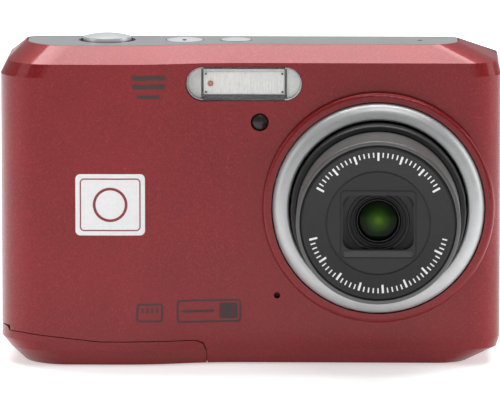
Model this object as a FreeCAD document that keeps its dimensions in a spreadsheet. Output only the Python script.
import FreeCAD, Part
import os
import re
import Sketcher

# A compact digital camera, taken apart into the pieces it is built from.
# X runs along the camera's width, the lens looks along -Y, and +Z is up.
# The origin is the mouth of the tripod socket, in the middle of the bottom face.
# Every size is in millimetres.

SIZES = {
    # Case: outer form
    "case_wide": 92.6,
    "case_high": 59.3,
    "case_front": -11.0,
    "grip_front": -14.2,
    "case_rear": 15.5,
    "wall": 1.6,
    "roof": 2.2,
    "parting": 5.5,
    "grip_flat_end": -25.0,
    "grip_blend_end": -1.0,
    "left_round_wide": 8.5,
    "left_round_deep": 9.5,
    "right_round_wide": 5.6,
    "right_round_deep": 5.5,
    "rear_round": 3.0,
    "gap": 0.15,
    # Case: bevels along the top and the bottom
    "bevel_high": 3.0,
    "inner_bevel_high": 2.0,
    "top_bevel_deep": 4.0,
    "bottom_bevel_deep": 2.5,
    "rear_slope_deep": 10.0,
    "rear_slope_step": 4.5,
    "rear_bevel_deep": 1.2,
    "top_slant_high": 5.5,
    "top_left_slant": 4.5,
    "top_right_slant": 7.6,
    "top_left_step": 1.3,
    "top_right_step": 0.6,
    "bottom_slant_high": 4.8,
    "bottom_left_slant": 4.1,
    "bottom_right_slant": 6.0,
    "bottom_left_step": 1.5,
    "bottom_right_step": 0.6,
    # Top plate
    "plate_rim": 0.4,
    "plate_thick": 1.0,
    # Lens: axis, ring and lip
    "lens_x": 23.7,
    "lens_z": 29.6,
    "lip_outer": 21.4,
    "lip_inner": 19.75,
    "lip_front": -12.9,
    "lip_back": -8.0,
    "lip_edge": 0.7,
    "ring_outer": 19.6,
    "ring_inner": 16.5,
    "ring_front": -14.4,
    "ring_back": -9.5,
    "ring_outer_round": 2.3,
    "ring_inner_round": 0.4,
    # Lens: housing, cam ring and barrels
    "housing_outer": 19.0,
    "housing_inner": 17.6,
    "housing_front": -8.9,
    "housing_back": 5.1,
    "cam_outer": 17.35,
    "cam_inner": 16.35,
    "cam_front": -8.5,
    "cam_back": 4.4,
    "rear_barrel_outer": 16.1,
    "rear_barrel_inner": 15.2,
    "rear_barrel_front": -18.4,
    "rear_barrel_long": 17.0,
    "front_barrel_outer": 15.0,
    "front_barrel_inner": 14.3,
    "front_barrel_front": -31.2,
    "front_barrel_long": 17.2,
    "barrel_round": 0.35,
    # Lens: face plate, barrier, holder and glass
    "face_front": -31.05,
    "face_thick": 1.1,
    "face_outer": 14.25,
    "face_rim": 13.7,
    "face_dish": 0.45,
    "face_disc": 9.6,
    "face_groove": 0.35,
    "window_wide": 12.9,
    "window_high": 10.0,
    "window_round": 1.8,
    "blade_wide": 13.7,
    "blade_high": 5.25,
    "blade_thick": 0.3,
    "blade_front": -29.75,
    "blade_low_edge": 5.45,
    "holder_front": -29.3,
    "holder_thick": 1.9,
    "holder_mouth": 6.9,
    "holder_step": 4.6,
    "holder_hole": 3.9,
    "front_lens_radius": 5.2,
    "front_lens_front": -28.3,
    "front_lens_thick": 3.2,
    "front_lens_curve": 13.0,
    "shutter_front": -21.5,
    "shutter_thick": 2.4,
    "shutter_hole": 3.2,
    "focus_front": -1.2,
    "focus_thick": 3.0,
    "focus_outer": 12.5,
    "focus_hole": 5.0,
    "focus_curve": 22.0,
    "sensor_wide": 9.6,
    "sensor_high": 8.4,
    "filter_front": 3.5,
    "filter_thick": 0.7,
    "sensor_front": 4.3,
    "sensor_thick": 0.9,
    "sensor_plate_front": 5.2,
    "sensor_plate_thick": 1.4,
    "motor_radius": 3.4,
    "motor_long": 9.5,
    "motor_x": 4.0,
    "motor_z": 17.4,
    "motor_front": -6.0,
    # Flash, focus lamp and microphone
    "flash_x": -1.1,
    "flash_z": 52.4,
    "flash_wide": 21.3,
    "flash_high": 6.2,
    "flash_thick": 1.3,
    "mirror_wide": 14.9,
    "mirror_high": 4.3,
    "mirror_deep": 5.0,
    "mirror_wall": 0.5,
    "flash_tube_radius": 1.1,
    "flash_tube_long": 19.5,
    "flash_tube_y": -6.3,
    "capacitor_radius": 3.6,
    "capacitor_long": 22.0,
    "capacitor_x": 3.4,
    "capacitor_y": 0.6,
    "capacitor_z": 52.9,
    "lamp_x": 1.8,
    "lamp_z": 45.3,
    "lamp_radius": 1.62,
    "lamp_dome": 2.6,
    "lamp_long": 2.4,
    "led_radius": 1.5,
    "led_long": 4.0,
    "mic_x": 5.0,
    "mic_z": 13.0,
    "mic_hole": 0.6,
    "mic_radius": 2.0,
    "mic_long": 1.5,
    "speaker_x": 31.3,
    "speaker_y": -0.4,
    "speaker_radius": 4.4,
    "speaker_thick": 2.6,
    "speaker_hole": 0.55,
    # Buttons on the top
    "top_button_y": -0.6,
    "top_flange_high": 0.6,
    "top_flange_low": 56.3,
    "top_flange_rim": 0.5,
    "button_gap": 0.18,
    "shutter_x": -26.7,
    "shutter_radius": 4.45,
    "shutter_top": 60.6,
    "shutter_curve": 16.0,
    "shutter_well": 5.3,
    "shutter_well_deep": 0.45,
    "shutter_travel": 0.8,
    "power_x": -12.3,
    "power_radius": 3.4,
    "power_top": 59.75,
    "mode_x": -2.8,
    "mode_radius": 2.75,
    "mode_top": 59.7,
    "small_travel": 0.4,
    "small_curve": 14.0,
    "board_thick": 0.7,
    "top_board_z": 54.3,
    "top_board_left": -33.0,
    "top_board_right": 1.4,
    "top_board_front": -4.0,
    "top_board_rear": 3.4,
    "switch_size": 3.0,
    # Controls on the back
    "pad_x": -31.0,
    "pad_z": 29.0,
    "pad_outer": 8.6,
    "pad_inner": 4.0,
    "set_radius": 3.5,
    "key_radius": 2.7,
    "key_side": 8.6,
    "upper_keys_z": 43.4,
    "lower_keys_z": 14.6,
    "rocker_z": 51.0,
    "rocker_wide": 15.0,
    "rocker_high": 4.6,
    "rocker_tilt_room": 0.45,
    "rocker_pivot_y": 13.3,
    "rocker_pivot_radius": 0.7,
    "key_proud": 0.6,
    "key_flange_front": 13.45,
    "key_flange_thick": 0.35,
    "key_flange_rim": 0.45,
    "key_board_left": -43.2,
    "key_board_right": -18.8,
    "key_board_low": 9.5,
    "key_board_high": 53.0,
    "key_board_y": 11.7,
    "dome_radius": 1.6,
    "dome_high": 0.45,
    # Display
    "display_x": 12.6,
    "display_z": 30.0,
    "display_wide": 60.0,
    "display_high": 46.0,
    "display_ledge": 1.5,
    "window_thick": 1.0,
    "window_sink": 0.05,
    "panel_thick": 1.5,
    "panel_front": 12.2,
    "frame_thick": 0.7,
    "frame_front": 11.4,
    # Boards, battery holder, cells and card
    "main_board_y": 7.4,
    "main_board_left": -9.8,
    "main_board_right": 41.6,
    "main_board_low": 9.0,
    "main_board_high": 53.0,
    "chip_size": 12.0,
    "chip_thick": 1.1,
    "cell_radius": 7.25,
    "cell_long": 48.9,
    "cell_nub_radius": 2.75,
    "cell_nub_high": 1.0,
    "cell_low": 3.1,
    "cell_y": -2.5,
    "cell_right_x": -20.5,
    "cell_left_x": -35.7,
    "holder_bore": 7.42,
    "holder_outer": 8.05,
    "holder_low": 7.4,
    "holder_ceiling": 53.55,
    "holder_roof": 0.6,
    "contact_radius": 3.4,
    "contact_thick": 0.45,
    "card_wide": 24.0,
    "card_high": 32.0,
    "card_thick": 2.1,
    "card_x": -23.5,
    "card_low": 3.0,
    "card_y": 8.0,
    "slot_wall": 0.35,
    "slot_low": 8.0,
    "slot_high": 27.5,
    # Battery door and its hinge
    "door_right": -8.1,
    "door_line_low": 4.6,
    "door_line_right": -27.8,
    "door_line_left": -42.0,
    "door_corner": 2.0,
    "door_rear": 11.5,
    "hinge_x": -45.5,
    "hinge_z": 6.2,
    "knuckle_radius": 0.8,
    "knuckle_clear": 0.2,
    "bead_front": -12.5,
    "knuckle_front": -5.2,
    "knuckle_rear": 11.3,
    "slider_front": 5.9,
    "slider_long": 4.4,
    "slider_reach": 7.6,
    "slider_thick": 1.2,
    "pin_radius": 0.35,
    "pin_clear": 0.05,
    "door_contact_thick": 0.4,
    # Tripod socket, USB socket, strap bar and screws
    "tripod_bore": 3.175,
    "tripod_outer": 4.6,
    "tripod_long": 6.5,
    "tripod_floor": 1.5,
    "usb_wide": 7.6,
    "usb_high": 2.7,
    "usb_long": 5.4,
    "usb_wall": 0.4,
    "usb_z": 15.5,
    "usb_y": 9.7,
    "strap_low": 40.0,
    "strap_high": 46.5,
    "strap_y": 9.6,
    "strap_deep": 4.6,
    "strap_bar_radius": 0.7,
    "screw_radius": 0.7,
    "screw_long": 4.4,
    "screw_head": 1.35,
    "screw_head_high": 0.7,
    "screw_y": 10.5,
    "boss_half": 2.0,
    "boss_thick": 2.6,
    "first_screw_x": 12.0,
    "second_screw_x": 32.0,
    # Longer than any of the camera, for tools that cut right through
    "far": 60.0,
}

ABOUT = {
    "x": FreeCAD.Rotation(FreeCAD.Vector(0, 1, 0), 90),
    "y": FreeCAD.Rotation(FreeCAD.Vector(1, 0, 0), -90),
    "z": FreeCAD.Rotation(),
}

document = FreeCAD.newDocument("compact_camera")
sheet = document.addObject("Spreadsheet::Sheet", "Sizes")
NODES = []


def fill_sheet():
    for row, (alias, value) in enumerate(SIZES.items(), start=1):
        sheet.set(f"A{row}", alias)
        sheet.set(f"B{row}", str(value))
        sheet.setAlias(f"B{row}", alias)
    document.recompute()


def formula(text):
    """The same sum, with each size read from the sheet."""
    return re.sub(r"[a-z][a-z_0-9]*", lambda word: "Sizes." + word.group(0), text)


def bind(item, properties, sums):
    for name, text in zip(properties, sums):
        item.setExpression(name, formula(text))


def set_place(item, place, axis="z"):
    item.Placement = FreeCAD.Placement(FreeCAD.Vector(), ABOUT[axis])
    bind(item, ("Placement.Base.x", "Placement.Base.y", "Placement.Base.z"), place)


# Building blocks. Sizes and places are sums of the sheet's aliases.

def block(name, size, corner):
    """A box from its lowest corner."""
    item = document.addObject("Part::Box", name)
    bind(item, ("Length", "Width", "Height"), size)
    set_place(item, corner)
    return item


def centred_block(name, size, centre_x, low_y, centre_z):
    """A box centred in X and Z that starts at low_y."""
    corner = (f"{centre_x} - ({size[0]}) / 2", low_y, f"{centre_z} - ({size[2]}) / 2")
    return block(name, size, corner)


def rod(name, radius, length, start, axis="z"):
    item = document.addObject("Part::Cylinder", name)
    bind(item, ("Radius", "Height"), (radius, length))
    set_place(item, start, axis)
    return item


def cone(name, first_radius, last_radius, length, start, axis="z"):
    item = document.addObject("Part::Cone", name)
    bind(item, ("Radius1", "Radius2", "Height"), (first_radius, last_radius, length))
    set_place(item, start, axis)
    return item


def ball(name, radius, centre):
    item = document.addObject("Part::Sphere", name)
    bind(item, ("Radius",), (radius,))
    set_place(item, centre)
    return item


def join(name, *pieces):
    item = document.addObject("Part::MultiFuse", name)
    item.Shapes = list(pieces)
    return item


def overlap(name, first, second):
    item = document.addObject("Part::Common", name)
    item.Base = first
    item.Tool = second
    return item


def cut(name, base, *tools):
    """Takes each tool away in turn."""
    item = base
    for number, tool in enumerate(tools, start=1):
        last = number == len(tools)
        remainder = document.addObject("Part::Cut", name if last else f"{name}_cut_{number}")
        remainder.Base = item
        remainder.Tool = tool
        item = remainder
    return item


def tube(name, outer, inner, length, start, axis="z"):
    body = rod(name + "_outside", outer, length, start, axis)
    bore = rod(name + "_bore", inner, length, start, axis)
    return cut(name, body, bore)


def soften(name, base, radius, wanted):
    """Round the edges of base that wanted() picks."""
    document.recompute()
    size = SIZES[radius]
    item = document.addObject("Part::Fillet", name)
    item.Base = base
    item.Edges = [
        (number, size, size)
        for number, edge in enumerate(base.Shape.Edges, start=1)
        if wanted(edge)
    ]
    return item


def runs_along(axis):
    """Picks straight edges parallel to an axis."""
    direction = {"x": (1, 0, 0), "y": (0, 1, 0), "z": (0, 0, 1)}[axis]

    def wanted(edge):
        if edge.Curve.TypeId != "Part::GeomLine":
            return False
        return abs(edge.Curve.Direction.dot(FreeCAD.Vector(*direction))) > 0.999

    return wanted


def circle_at(radius, level):
    """Picks the circular edges of one radius at one distance along the lens axis."""
    def wanted(edge):
        if edge.Curve.TypeId != "Part::GeomCircle":
            return False
        right_radius = abs(edge.Curve.Radius - SIZES[radius]) < 0.01
        return right_radius and abs(edge.Curve.Center.y - SIZES[level]) < 0.01

    return wanted


def outline(body, role, points):
    """A closed sketch of straight lines, each corner held at its two distances."""
    sketch = body.newObject("Sketcher::SketchObject", body.Name + "_outline")
    plane = [feature for feature in body.Origin.OriginFeatures if feature.Role == role][0]
    sketch.AttachmentSupport = [(plane, "")]
    sketch.MapMode = "FlatFace"
    count = len(points)
    turn = FreeCAD.Rotation(FreeCAD.Vector(0, 0, 1), 360 / count)
    corners = [FreeCAD.Vector(5, 0, 0)]
    while len(corners) < count:
        corners.append(turn.multVec(corners[-1]))
    for number, corner in enumerate(corners):
        sketch.addGeometry(Part.LineSegment(corner, corners[(number + 1) % count]), False)
    for number in range(count):
        sketch.addConstraint(Sketcher.Constraint("Coincident", number, 2, (number + 1) % count, 1))
    for number, (corner, point) in enumerate(zip(corners, points)):
        for kind, start, text in zip(("DistanceX", "DistanceY"), corner, point):
            index = sketch.addConstraint(Sketcher.Constraint(kind, -1, 1, number, 1, start))
            sketch.setExpression(f"Constraints[{index}]", formula(text))
    return sketch


def turned(name, axis, points, place):
    """A round piece: a half section of (radius, height) points turned about an axis."""
    body = document.addObject("PartDesign::Body", name)
    sketch = outline(body, {"y": "XY_Plane", "z": "XZ_Plane"}[axis], points)
    feature = body.newObject("PartDesign::Revolution", name + "_turned")
    feature.Profile = sketch
    feature.ReferenceAxis = (sketch, ["V_Axis"])
    feature.Angle = 360
    set_place(body, place)
    return body


def extruded(name, role, points, length, place):
    """A sketched section with a straight length, centred on its sketch plane."""
    body = document.addObject("PartDesign::Body", name)
    sketch = outline(body, role, points)
    feature = body.newObject("PartDesign::Pad", name + "_pad")
    feature.Profile = sketch
    feature.Midplane = True
    bind(feature, ("Length",), (length,))
    set_place(body, place)
    return body


def keep(name, item):
    """Makes an object one of the camera's pieces."""
    item.Label = name
    NODES.append(item)
    return item


# The case's outer form: outlines seen from above, joined by straight-sided lofts.

def round_corner(start, corner, end):
    """A quarter of an ellipse from start to end, inside a corner."""
    toward = 0.5523
    curve = Part.BezierCurve()
    curve.setPoles([start, start + (corner - start) * toward, end + (corner - end) * toward, end])
    return curve.toShape()


def case_outline(height, insets, wall):
    """The case's outline at one height, moved inwards by its insets and by a wall."""
    left_in, right_in, front_in, rear_in = insets
    left = -SIZES["case_wide"] / 2 + left_in + wall
    right = SIZES["case_wide"] / 2 - right_in - wall
    front = SIZES["case_front"] + front_in + wall
    grip = SIZES["grip_front"] + front_in + wall
    rear = SIZES["case_rear"] - rear_in - wall
    rear_round = SIZES["rear_round"] - wall
    left_wide = SIZES["left_round_wide"] - wall
    left_deep = SIZES["left_round_deep"] - wall
    right_wide = SIZES["right_round_wide"] - wall
    right_deep = SIZES["right_round_deep"] - wall
    flat_end = SIZES["grip_flat_end"]
    blend_end = SIZES["grip_blend_end"]
    middle = (flat_end + blend_end) / 2

    def point(x, y):
        return FreeCAD.Vector(x, y, height)

    blend = Part.BezierCurve()
    blend.setPoles([point(flat_end, grip), point(middle, grip),
                    point(middle, front), point(blend_end, front)])
    edges = [
        Part.makeLine(point(left + left_wide, grip), point(flat_end, grip)),
        blend.toShape(),
        Part.makeLine(point(blend_end, front), point(right - right_wide, front)),
        round_corner(point(right - right_wide, front), point(right, front), point(right, front + right_deep)),
        Part.makeLine(point(right, front + right_deep), point(right, rear - rear_round)),
        round_corner(point(right, rear - rear_round), point(right, rear), point(right - rear_round, rear)),
        Part.makeLine(point(right - rear_round, rear), point(left + rear_round, rear)),
        round_corner(point(left + rear_round, rear), point(left, rear), point(left, rear - rear_round)),
        Part.makeLine(point(left, rear - rear_round), point(left, grip + left_deep)),
        round_corner(point(left, grip + left_deep), point(left, grip), point(left + left_wide, grip)),
    ]
    return Part.Wire(edges)


def top_insets():
    """How far the top outline lies inside the widest one: left, right, front and rear."""
    return (SIZES["top_left_slant"], SIZES["top_right_slant"],
            SIZES["top_bevel_deep"], SIZES["rear_slope_deep"])


def case_form(name, bottom, top, wall, top_bevel):
    """A solid with the case's outer form, or with its inside when wall isn't zero."""
    low_insets = (SIZES["bottom_left_slant"], SIZES["bottom_right_slant"],
                  SIZES["bottom_bevel_deep"], SIZES["rear_bevel_deep"])
    low_step = (SIZES["bottom_left_step"], SIZES["bottom_right_step"], 0, 0)
    upright = (0, 0, 0, 0)
    high_step = (SIZES["top_left_step"], SIZES["top_right_step"], 0, SIZES["rear_slope_step"])
    levels = [
        (bottom, low_insets),
        (SIZES["bevel_high"], low_step),
        (SIZES["bottom_slant_high"], upright),
        (SIZES["case_high"] - SIZES["top_slant_high"], upright),
        (top - top_bevel, high_step),
        (top, top_insets()),
    ]
    outlines = [case_outline(height, insets, wall) for height, insets in levels]
    item = document.addObject("Part::Feature", name)
    item.Shape = Part.makeLoft(outlines, True, True)
    return item


def plate_outline(rim, thick, name):
    """The top plate's outline, as a prism that ends above the case."""
    outline = case_outline(SIZES["case_high"] - thick, top_insets(), rim)
    item = document.addObject("Part::Feature", name)
    item.Shape = Part.Face(outline).extrude(FreeCAD.Vector(0, 0, thick + 1))
    return item


def stadium(name, grow, low_y, deep):
    """The flash window's shape, with round ends."""
    high = f"flash_high + 2 * {grow}"
    middle = centred_block(name + "_middle", ("flash_wide - flash_high", deep, high),
                           "flash_x", low_y, "flash_z")
    side = "(flash_wide - flash_high) / 2"
    left_end = rod(name + "_left", f"({high}) / 2", deep, (f"flash_x - {side}", low_y, "flash_z"), "y")
    right_end = rod(name + "_right", f"({high}) / 2", deep, (f"flash_x + {side}", low_y, "flash_z"), "y")
    return join(name, middle, left_end, right_end)


def door_zone(name, gap, left_room=None):
    """The corner of the case that the battery door takes up, as a prism along Y."""
    low = f"door_line_low + {gap}"
    right = f"door_right + {gap}"
    side_x = "hinge_x + knuckle_radius + knuckle_clear"
    left_top = f"hinge_z + {gap}"
    points = [
        ("0 - far", "0 - 5"),
        (right, "0 - 5"),
        (right, f"{low} - door_corner"),
        (f"{right} - 0.3 * door_corner", f"{low} - 0.3 * door_corner"),
        (f"{right} - door_corner", low),
        ("door_line_right", low),
        ("door_line_left", left_top),
    ]
    if left_room:
        points.append((side_x, left_top))
        left_top = f"hinge_z + {left_room}"
        points.append((side_x, left_top))
    points.append(("0 - far", left_top))
    return extruded(name, "XZ_Plane", points, "far", ("0", f"door_rear + {gap} - far / 2", "0"))


def screw_boss(name, x):
    return block(name, ("2 * boss_half", "screw_y + boss_half - parting + 3", "boss_thick"),
                 (f"{x} - boss_half", "parting - 3", "wall"))


def screw_hole(name, x):
    shank = rod(name + "_shank", "screw_radius", "screw_long + 1", (x, "screw_y", "0"))
    head = rod(name + "_head", "screw_head", "screw_head_high + 0.1", (x, "screw_y", "0"))
    return join(name, shank, head)


def key_places():
    """The round keys on the back: their names, and where each one is."""
    left = "pad_x - key_side"
    right = "pad_x + key_side"
    return {
        "record_button": (right, "upper_keys_z"),
        "menu_button": (left, "upper_keys_z"),
        "play_button": (right, "lower_keys_z"),
        "delete_button": (left, "lower_keys_z"),
    }


def make_front_cover(shell):
    front_side = block("front_side", ("2 * far", "far + parting", "2 * far"),
                       ("0 - far", "0 - far", "0 - far"))
    skin = overlap("front_skin", shell, front_side)
    lip_rod = rod("lip_rod", "lip_outer", "lip_back - lip_front", ("lens_x", "lip_front", "lens_z"), "y")
    lip = soften("lip", lip_rod, "lip_edge", circle_at("lip_outer", "lip_front"))
    bosses = [screw_boss("first_boss", "first_screw_x"), screw_boss("second_boss", "second_screw_x")]
    whole = join("front_whole", skin, lip, *bosses)
    lens_hole = rod("lens_hole", "lip_inner", "far", ("lens_x", "0 - far / 2", "lens_z"), "y")
    lamp_hole = rod("lamp_hole", "lamp_radius + 0.05", "far / 2", ("lamp_x", "0 - far / 2", "lamp_z"), "y")
    mic_hole = rod("mic_hole", "mic_hole", "far / 2", ("mic_x", "0 - far / 2", "mic_z"), "y")
    flash_hole = stadium("flash_hole", "0.08", "0 - far / 2", "far / 2")
    button_holes = [
        rod(name + "_hole", f"{name}_radius + button_gap", "far",
            (f"{name}_x", "top_button_y", "case_high / 2"))
        for name in ("shutter", "power", "mode")
    ]
    sound_hole = rod("sound_hole", "speaker_hole", "far", ("speaker_x", "speaker_y", "case_high / 2"))
    tripod_hole = rod("tripod_hole", "tripod_outer", "10", ("0", "0", "0 - 5"))
    plate_recess = plate_outline(SIZES["plate_rim"] - SIZES["gap"], SIZES["plate_thick"] + SIZES["gap"],
                                 "plate_recess")
    door_hole = door_zone("front_door_hole", "gap", "knuckle_radius + knuckle_clear")
    screws = [screw_hole("front_first_screw", "first_screw_x"),
              screw_hole("front_second_screw", "second_screw_x")]
    cover = cut("front_cover", whole, lens_hole, lamp_hole, mic_hole, flash_hole, *button_holes,
                sound_hole, tripod_hole, plate_recess, door_hole, *screws)
    return keep("front_cover", cover)


def make_rear_cover(shell):
    rear_side = block("rear_side", ("2 * far", "far", "2 * far"), ("0 - far", "parting", "0 - far"))
    skin = overlap("rear_skin", shell, rear_side)
    strap_high = "strap_high - strap_low"
    cup = block("strap_cup", ("2.3", "strap_deep + 1.6", f"{strap_high} + 2.4"),
                ("case_wide / 2 - 3", "strap_y - strap_deep / 2 - 0.8", "strap_low - 1.2"))
    whole = join("rear_whole", skin, cup)
    strap_hole = block("strap_hole", ("5", "strap_deep", strap_high),
                       ("case_wide / 2 - 2.4", "strap_y - strap_deep / 2", "strap_low"))
    ledge_hole = centred_block("display_hole", ("display_wide - 2 * display_ledge", "10",
                               "display_high - 2 * display_ledge"), "display_x", "case_rear - 5", "display_z")
    recess = centred_block("display_recess", ("display_wide + 0.2", "5", "display_high + 0.2"),
                           "display_x", "case_rear - window_thick - window_sink", "display_z")
    soft_recess = soften("display_recess_round", recess, "rear_round", runs_along("y"))
    key_holes = [
        rod(name + "_hole", "key_radius + button_gap", "10", (place[0], "case_rear - 5", place[1]), "y")
        for name, place in key_places().items()
    ]
    pad_hole = rod("pad_hole", "pad_outer + button_gap", "10", ("pad_x", "case_rear - 5", "pad_z"), "y")
    rocker_hole = centred_block("rocker_hole", ("rocker_wide + 2 * rocker_tilt_room", "10",
                                "rocker_high + 2 * button_gap"), "pad_x", "case_rear - 5", "rocker_z")
    usb_hole = block("usb_hole", ("10", "usb_high + 0.2", "usb_wide + 0.2"),
                     ("case_wide / 2 - 5", "usb_y - usb_high / 2 - 0.1", "usb_z - usb_wide / 2 - 0.1"))
    door_hole = door_zone("rear_door_hole", "gap", "knuckle_radius + knuckle_clear")
    screws = [screw_hole("rear_first_screw", "first_screw_x"),
              screw_hole("rear_second_screw", "second_screw_x")]
    cover = cut("rear_cover", whole, strap_hole, ledge_hole, soft_recess, *key_holes, pad_hole, rocker_hole,
                usb_hole, door_hole, *screws)
    return keep("rear_cover", cover)


def make_top_plate():
    plate = plate_outline(SIZES["plate_rim"], SIZES["plate_thick"], "plate_form")
    above = block("above_plate", ("2 * far", "2 * far", "far"), ("0 - far", "0 - far", "case_high"))
    holes = [
        rod(name + "_plate_hole", f"{name}_radius + button_gap", "far",
            (f"{name}_x", "top_button_y", "case_high / 2"))
        for name in ("shutter", "power", "mode")
    ]
    well = rod("shutter_well", "shutter_well", "5",
               ("shutter_x", "top_button_y", "case_high - shutter_well_deep"))
    sound = rod("sound_plate_hole", "speaker_hole", "far", ("speaker_x", "speaker_y", "case_high / 2"))
    return keep("top_plate", cut("top_plate", plate, above, *holes, well, sound))


def make_case():
    outer = case_form("case_outer", 0, SIZES["case_high"], 0, SIZES["bevel_high"])
    inner = case_form("case_inner", SIZES["wall"], SIZES["case_high"] - SIZES["roof"], SIZES["wall"],
                      SIZES["inner_bevel_high"])
    shell = cut("case_shell", outer, inner)
    make_front_cover(shell)
    make_rear_cover(shell)
    make_top_plate()
    return shell, outer


# The lens

def lens_tube(name, outer, inner, front, length):
    return tube(name, outer, inner, length, ("lens_x", front, "lens_z"), "y")


def lens_disc(name, radius, front, thick):
    return rod(name, radius, thick, ("lens_x", front, "lens_z"), "y")


def make_lens_ring():
    ring = lens_tube("ring_blank", "ring_outer", "ring_inner", "ring_front", "ring_back - ring_front")
    outside = soften("ring_outside", ring, "ring_outer_round", circle_at("ring_outer", "ring_front"))
    keep("lens_ring", soften("lens_ring", outside, "ring_inner_round", circle_at("ring_inner", "ring_front")))


def make_lens_tubes():
    housing = lens_tube("lens_housing", "housing_outer", "housing_inner", "housing_front",
                        "housing_back - housing_front")
    keep("lens_housing", housing)
    cam = lens_tube("cam_tube", "cam_outer", "cam_inner", "cam_front", "cam_back - cam_front")
    slots = [
        centred_block("cam_slot", ("2.4", "8", "3 * cam_outer"), "lens_x", "cam_front + 2", "lens_z"),
        centred_block("cam_cross_slot", ("3 * cam_outer", "8", "2.4"), "lens_x", "cam_front + 2", "lens_z"),
    ]
    keep("cam_ring", cut("cam_ring", cam, *slots))
    rear = lens_tube("rear_barrel_blank", "rear_barrel_outer", "rear_barrel_inner", "rear_barrel_front",
                     "rear_barrel_long")
    keep("rear_barrel", soften("rear_barrel", rear, "barrel_round",
                               circle_at("rear_barrel_outer", "rear_barrel_front")))
    front = lens_tube("front_barrel_blank", "front_barrel_outer", "front_barrel_inner", "front_barrel_front",
                      "front_barrel_long")
    keep("front_barrel", soften("front_barrel", front, "barrel_round",
                                circle_at("front_barrel_outer", "front_barrel_front")))


def make_face_plate():
    """The dished plate on the front barrel, with a rectangular window."""
    points = [
        ("0", "face_dish"),
        ("face_disc - face_groove", "face_dish"),
        ("face_disc - face_groove", "face_dish + 0.2"),
        ("face_disc", "face_dish + 0.2"),
        ("face_disc", "face_dish - 0.1"),
        ("face_rim", "0"),
        ("face_outer", "0.25"),
        ("face_outer", "face_thick"),
        ("0", "face_thick"),
    ]
    disc = turned("face_disc_blank", "y", points, ("lens_x", "face_front", "lens_z"))
    hole = centred_block("face_window", ("window_wide", "10", "window_high"),
                         "lens_x", "face_front - 5", "lens_z")
    soft_hole = soften("face_window_round", hole, "window_round", runs_along("y"))
    keep("lens_face_plate", cut("lens_face_plate", disc, soft_hole))


def make_barrier():
    """Two blades that stand clear of the window while the lens is open."""
    size = ("blade_wide", "blade_thick", "blade_high")
    middle = "blade_low_edge + blade_high / 2"
    for name, sign in (("upper_barrier_blade", "+"), ("lower_barrier_blade", "-")):
        blank = centred_block(name + "_blank", size, "lens_x", "blade_front", f"lens_z {sign} ({middle})")
        keep(name, soften(name, blank, "lip_edge", runs_along("y")))


def make_front_glass():
    """The holder, with rings that step down to the front lens."""
    back = "holder_front + holder_thick"
    blank = lens_disc("lens_holder_blank", "face_outer", "holder_front", "holder_thick")
    mouth = cone("holder_mouth_cut", "holder_mouth", "holder_step + 0.3", "0.8",
                 ("lens_x", "holder_front", "lens_z"), "y")
    step = cone("holder_step_cut", "holder_step", "holder_hole", "0.8",
                ("lens_x", "holder_front + 0.7", "lens_z"), "y")
    hole = lens_disc("holder_hole_cut", "holder_hole", "holder_front - 1", "far / 10")
    seat = lens_disc("holder_seat_cut", "front_lens_radius", "front_lens_front + 0.35", "far / 10")
    skirt = lens_disc("holder_skirt", "front_lens_radius + 1", back, "front_lens_thick - 0.5")
    whole = join("holder_whole", blank, skirt)
    keep("lens_holder", cut("lens_holder", whole, mouth, step, hole, seat))
    glass = lens_disc("front_lens_blank", "front_lens_radius", "front_lens_front + 0.35", "front_lens_thick")
    curve = ball("front_lens_curve_ball", "front_lens_curve",
                 ("lens_x", "front_lens_front + 0.35 + front_lens_curve", "lens_z"))
    keep("front_lens", overlap("front_lens", glass, curve))


def make_inner_optics():
    keep("shutter_unit", lens_tube("shutter_unit", "front_barrel_inner", "shutter_hole", "shutter_front",
                                   "shutter_thick"))
    keep("focus_frame", lens_tube("focus_frame", "focus_outer", "focus_hole", "focus_front", "focus_thick"))
    glass = lens_disc("focus_lens_blank", "focus_hole", "focus_front", "focus_thick")
    curve = ball("focus_curve_ball", "focus_curve", ("lens_x", "focus_front + focus_curve", "lens_z"))
    keep("focus_lens", overlap("focus_lens", glass, curve))
    keep("infrared_filter", centred_block("infrared_filter", ("sensor_wide", "filter_thick", "sensor_high"),
                                          "lens_x", "filter_front", "lens_z"))
    keep("image_sensor", centred_block("image_sensor", ("sensor_wide", "sensor_thick", "sensor_high"),
                                       "lens_x", "sensor_front", "lens_z"))
    plate = lens_disc("sensor_plate", "housing_outer", "sensor_plate_front", "sensor_plate_thick")
    keep("sensor_plate", plate)


def make_zoom_motor():
    motor = rod("motor_can", "motor_radius", "motor_long", ("motor_x", "motor_front", "motor_z"), "y")
    shaft = rod("motor_shaft", "0.5", "2", ("motor_x", "motor_front - 2", "motor_z"), "y")
    keep("zoom_motor", join("zoom_motor", motor, shaft))


# Flash, focus lamp, microphone and speaker

def make_flash():
    keep("flash_window", stadium("flash_window", "0", "case_front + 0.1", "flash_thick"))
    front = "case_front + 0.15 + flash_thick"
    outside = centred_block("mirror_outside", ("mirror_wide + 2 * mirror_wall", "mirror_deep",
                            "mirror_high + 2 * mirror_wall"), "flash_x", front, "flash_z")
    inside = centred_block("mirror_inside", ("mirror_wide", "mirror_deep - mirror_wall", "mirror_high"),
                           "flash_x", front, "flash_z")
    ends = rod("mirror_tube_hole", "flash_tube_radius + 0.1", "far",
               ("flash_x - far / 2", "flash_tube_y", "flash_z"), "x")
    keep("flash_reflector", cut("flash_reflector", outside, inside, ends))
    keep("flash_tube", rod("flash_tube", "flash_tube_radius", "flash_tube_long",
                           ("flash_x - flash_tube_long / 2", "flash_tube_y", "flash_z"), "x"))
    keep("flash_capacitor", rod("flash_capacitor", "capacitor_radius", "capacitor_long",
                                ("capacitor_x", "capacitor_y", "capacitor_z"), "x"))


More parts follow.
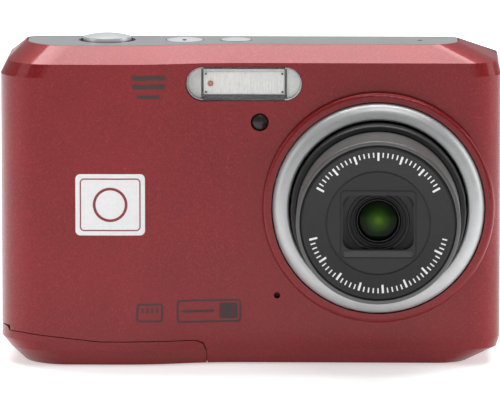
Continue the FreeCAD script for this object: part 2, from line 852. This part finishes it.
def make_focus_lamp():
    blank = rod("lamp_blank", "lamp_radius", "lamp_long", ("lamp_x", "case_front - 0.1", "lamp_z"), "y")
    dome = ball("lamp_dome_ball", "lamp_dome", ("lamp_x", "case_front - 0.1 + lamp_dome", "lamp_z"))
    keep("focus_lamp_window", overlap("focus_lamp_window", blank, dome))
    keep("focus_lamp_led", rod("focus_lamp_led", "led_radius", "led_long",
                               ("lamp_x", "case_front + lamp_long", "lamp_z"), "y"))


def make_sound():
    keep("microphone", rod("microphone", "mic_radius", "mic_long",
                           ("mic_x", "case_front + wall + 0.1", "mic_z"), "y"))
    low = "case_high - roof - speaker_thick - 0.1"
    keep("speaker", rod("speaker", "speaker_radius", "speaker_thick", ("speaker_x", "speaker_y", low)))


# Buttons and boards on top

def top_button(name, stem, top, curve):
    """A domed cap on a flange that stops it under the roof."""
    place = (f"{stem}_x", "top_button_y")
    cap = rod(name + "_cap", f"{stem}_radius", f"{top} - top_flange_low", (*place, "top_flange_low"))
    dome = ball(name + "_dome", curve, (*place, f"{top} - {curve}"))
    shaped = overlap(name + "_shaped", cap, dome)
    flange = rod(name + "_flange", f"{stem}_radius + top_flange_rim", "top_flange_high",
                 (*place, "top_flange_low"))
    keep(name, join(name, shaped, flange))


def make_top_controls():
    top_button("shutter_button", "shutter", "shutter_top", "shutter_curve")
    top_button("power_button", "power", "power_top", "small_curve")
    top_button("mode_button", "mode", "mode_top", "small_curve")
    board = block("top_board", ("top_board_right - top_board_left", "top_board_rear - top_board_front",
                  "board_thick"), ("top_board_left", "top_board_front", "top_board_z"))
    keep("top_board", board)
    switches = []
    for stem, travel in (("shutter", "shutter_travel"), ("power", "small_travel"), ("mode", "small_travel")):
        low = "top_board_z + board_thick"
        high = f"top_flange_low - {travel} - 0.1 - ({low})"
        switches.append(block(stem + "_switch", ("switch_size", "switch_size", high),
                              (f"{stem}_x - switch_size / 2", "top_button_y - switch_size / 2", low)))
    keep("top_switches", join("top_switches", *switches))


# Controls on the back

def rear_key(name, radius, place):
    cap = rod(name + "_cap", radius, "case_rear + key_proud - key_flange_front",
              (place[0], "key_flange_front", place[1]), "y")
    flange = rod(name + "_flange", f"{radius} + key_flange_rim", "key_flange_thick",
                 (place[0], "key_flange_front", place[1]), "y")
    return join(name, cap, flange)


def make_rear_controls():
    for name, place in key_places().items():
        keep(name, rear_key(name, "key_radius", place))
    pad = rear_key("pad_blank", "pad_outer", ("pad_x", "pad_z"))
    pad_bore = rod("pad_bore", "pad_inner", "far", ("pad_x", "0", "pad_z"), "y")
    keep("four_way_pad", cut("four_way_pad", pad, pad_bore))
    keep("set_button", rod("set_button", "set_radius", "case_rear + key_proud - key_flange_front",
                           ("pad_x", "key_flange_front", "pad_z"), "y"))
    bar = centred_block("rocker_bar", ("rocker_wide", "2.2", "rocker_high"), "pad_x",
                        "case_rear - wall", "rocker_z")
    soft_bar = soften("rocker_soft_bar", bar, "lip_edge", runs_along("y"))
    post = rod("rocker_post", "rocker_pivot_radius", "rocker_high - 1",
               ("pad_x", "rocker_pivot_y", "rocker_z - rocker_high / 2 + 0.5"))
    keep("zoom_rocker", join("zoom_rocker", soft_bar, post))
    board = block("key_board", ("key_board_right - key_board_left", "board_thick",
                  "key_board_high - key_board_low"), ("key_board_left", "key_board_y", "key_board_low"))
    keep("key_board", board)
    centres = list(key_places().values())
    centres.append(("pad_x", "pad_z"))
    around = "(pad_outer + pad_inner) / 2"
    for side in ("+", "-"):
        centres.append((f"pad_x {side} {around}", "pad_z"))
        centres.append(("pad_x", f"pad_z {side} {around}"))
    domes = [
        rod(f"dome_{number}", "dome_radius", "dome_high", (x, "key_board_y + board_thick", z), "y")
        for number, (x, z) in enumerate(centres, start=1)
    ]
    keep("dome_switches", join("dome_switches", *domes))


def make_display():
    glass = centred_block("display_glass", ("display_wide", "window_thick", "display_high"), "display_x",
                          "case_rear - window_thick - window_sink", "display_z")
    keep("display_window", soften("display_window", glass, "rear_round", runs_along("y")))
    keep("display_panel", centred_block("display_panel", ("display_wide - 1.5", "panel_thick",
                                        "display_high"), "display_x", "panel_front", "display_z"))
    keep("display_frame", centred_block("display_frame", ("display_wide - 1", "frame_thick",
                                        "display_high + 0.5"), "display_x", "frame_front", "display_z"))


def make_main_board():
    board = block("bare_main_board", ("main_board_right - main_board_left", "board_thick",
                  "main_board_high - main_board_low"), ("main_board_left", "main_board_y", "main_board_low"))
    chip = centred_block("processor_chip", ("chip_size", "chip_thick", "chip_size"),
                         "lens_x", "main_board_y + board_thick", "lens_z")
    keep("main_board", join("main_board", board, chip))


# Power, card and their door

def make_battery_bay():
    high = "holder_ceiling + holder_roof - holder_low"
    sides = [
        rod(f"bay_side_{number}", "holder_outer", high, (x, "cell_y", "holder_low"))
        for number, x in enumerate(("cell_left_x", "cell_right_x"), start=1)
    ]
    middle = block("bay_middle", ("cell_right_x - cell_left_x", "2 * holder_outer", high),
                   ("cell_left_x", "cell_y - holder_outer", "holder_low"))
    bores = [
        rod(f"bay_bore_{number}", "holder_bore", "holder_ceiling - holder_low", (x, "cell_y", "holder_low"))
        for number, x in enumerate(("cell_left_x", "cell_right_x"), start=1)
    ]
    keep("battery_holder", cut("battery_holder", join("bay_whole", *sides, middle), *bores))
    for name, x, nub_up in (("left_cell", "cell_left_x", False), ("right_cell", "cell_right_x", True)):
        can_low = "cell_low" if nub_up else "cell_low + cell_nub_high"
        nub_low = "cell_low + cell_long" if nub_up else "cell_low"
        can = rod(name + "_can", "cell_radius", "cell_long", (x, "cell_y", can_low))
        nub = rod(name + "_nub", "cell_nub_radius", "cell_nub_high", (x, "cell_y", nub_low))
        keep(name, join(name, can, nub))
    contacts = [
        rod(f"top_contact_{number}", "contact_radius", "contact_thick",
            (x, "cell_y", "holder_ceiling - contact_thick"))
        for number, x in enumerate(("cell_left_x", "cell_right_x"), start=1)
    ]
    keep("top_contacts", join("top_contacts", *contacts))


def make_card():
    card = centred_block("memory_card_blank", ("card_wide", "card_thick", "card_high"), "card_x",
                         "card_y - card_thick / 2", "card_low + card_high / 2")
    corner = extruded("card_corner", "XZ_Plane", [("0", "0"), ("5", "0"), ("0", "5")], "10",
                      ("card_x - card_wide / 2 - 0.5", "card_y", "card_low - 0.5"))
    keep("memory_card", cut("memory_card", card, corner))
    outer = centred_block("slot_outer", ("card_wide + 0.3 + 2 * slot_wall", "card_thick + 0.3 + 2 * slot_wall",
                          "slot_high"), "card_x", "card_y - card_thick / 2 - 0.15 - slot_wall",
                          "slot_low + slot_high / 2")
    inner = centred_block("slot_inner", ("card_wide + 0.3", "card_thick + 0.3", "slot_high"), "card_x",
                          "card_y - card_thick / 2 - 0.15", "slot_low - slot_wall + slot_high / 2")
    keep("card_slot", cut("card_slot", outer, inner))


def make_door(shell, outer):
    zone = door_zone("door_zone", "0")
    skin = overlap("door_skin", shell, zone)
    bead = rod("door_bead", "knuckle_radius", "knuckle_rear - bead_front",
               ("hinge_x", "bead_front", "hinge_z"), "y")
    knuckle = overlap("door_knuckle", bead, outer)
    whole = join("door_whole", skin, knuckle)
    notch = block("slider_notch", ("2.6", "slider_long + 0.4", "3"),
                  ("hinge_x - 1.3", "slider_front - 0.2", "hinge_z - knuckle_radius - 0.25"))
    bore = rod("door_pin_bore", "pin_radius + pin_clear", "far",
               ("hinge_x", "knuckle_front - 0.1", "hinge_z"), "y")
    keep("battery_door", cut("battery_door", whole, notch, bore))
    plate = block("door_plate", ("cell_right_x - cell_left_x + 8", "7", "door_contact_thick"),
                  ("cell_left_x - 3", "cell_y - 3.5", "wall"))
    pads = [
        cone(f"door_pad_{number}", "3.2", "2.2", "0.7", (x, "cell_y", "wall + door_contact_thick"))
        for number, x in enumerate(("cell_left_x", "cell_right_x"), start=1)
    ]
    keep("door_contacts", join("door_contacts", plate, *pads))
    eye = rod("slider_eye", "knuckle_radius", "slider_long", ("hinge_x", "slider_front", "hinge_z"), "y")
    arm = block("slider_arm", ("slider_reach", "slider_long", "slider_thick"),
                ("hinge_x", "slider_front", "hinge_z - slider_thick / 2"))
    eye_bore = rod("slider_bore", "pin_radius", "far", ("hinge_x", "0 - far / 2", "hinge_z"), "y")
    keep("hinge_slider", cut("hinge_slider", join("slider_whole", eye, arm), eye_bore))
    keep("hinge_pin", rod("hinge_pin", "pin_radius", "knuckle_rear - knuckle_front",
                          ("hinge_x", "knuckle_front", "hinge_z"), "y"))


# Sockets, strap bar and fasteners

def make_fittings():
    blank = rod("tripod_blank", "tripod_outer", "tripod_long", ("0", "0", "0"))
    bore = rod("tripod_bore", "tripod_bore", "tripod_long - tripod_floor", ("0", "0", "0"))
    keep("tripod_socket", cut("tripod_socket", blank, bore))
    start = ("case_wide / 2 - usb_long - 0.2", "usb_y - usb_high / 2", "usb_z - usb_wide / 2")
    outside = block("usb_outside", ("usb_long", "usb_high", "usb_wide"), start)
    inside = block("usb_inside", ("usb_long", "usb_high - 2 * usb_wall", "usb_wide - 2 * usb_wall"),
                   (f"{start[0]} + 1", f"{start[1]} + usb_wall", f"{start[2]} + usb_wall"))
    tongue = block("usb_tongue", ("usb_long - 1.5", "0.6", "usb_wide - 2.6"),
                   (f"{start[0]} + 0.5", "usb_y - 0.3", f"{start[2]} + 1.3"))
    keep("usb_socket", join("usb_socket", cut("usb_shell", outside, inside), tongue))
    keep("strap_bar", rod("strap_bar", "strap_bar_radius", "strap_high - strap_low",
                          ("case_wide / 2 - strap_bar_radius - 0.1", "strap_y", "strap_low")))
    screws = []
    for x in ("first_screw_x", "second_screw_x"):
        shank = rod("screw_shank", "screw_radius", "screw_long", (x, "screw_y", "0.1"))
        head = rod("screw_head", "screw_head", "screw_head_high", (x, "screw_y", "0.1"))
        cross = join("screw_cross",
                     block("cross_bar", ("1.6", "0.3", "0.5"), (f"{x} - 0.8", "screw_y - 0.15", "0")),
                     block("cross_arm", ("0.3", "1.6", "0.5"), (f"{x} - 0.15", "screw_y - 0.8", "0")))
        screws.append(cut("screw", join("screw_whole", shank, head), cross))
    keep("case_screws", join("case_screws", *screws))


def check_and_write():
    document.recompute()
    for item in document.Objects:
        if "Invalid" in item.State or "Error" in item.State:
            raise RuntimeError(f"{item.Name} failed: {item.State}")
    for item in NODES:
        if item.Shape.isNull() or not item.Shape.isValid():
            raise RuntimeError(f"{item.Label} has no valid shape")
    os.makedirs("parts", exist_ok=True)
    for item in NODES:
        item.Shape.exportStep(f"parts/{item.Label}.step")
        box = item.Shape.BoundBox
        print(f"{item.Label:22s} solids {len(item.Shape.Solids)} volume {item.Shape.Volume:9.2f} "
              f"x {box.XMin:6.1f} {box.XMax:6.1f} y {box.YMin:6.1f} {box.YMax:6.1f} "
              f"z {box.ZMin:6.1f} {box.ZMax:6.1f}")


fill_sheet()
case_shell, case_outer = make_case()
make_lens_ring()
make_lens_tubes()
make_face_plate()
make_barrier()
make_front_glass()
make_inner_optics()
make_zoom_motor()
make_flash()
make_focus_lamp()
make_sound()
make_top_controls()
make_rear_controls()
make_display()
make_main_board()
make_battery_bay()
make_card()
make_door(case_shell, case_outer)
make_fittings()
check_and_write()
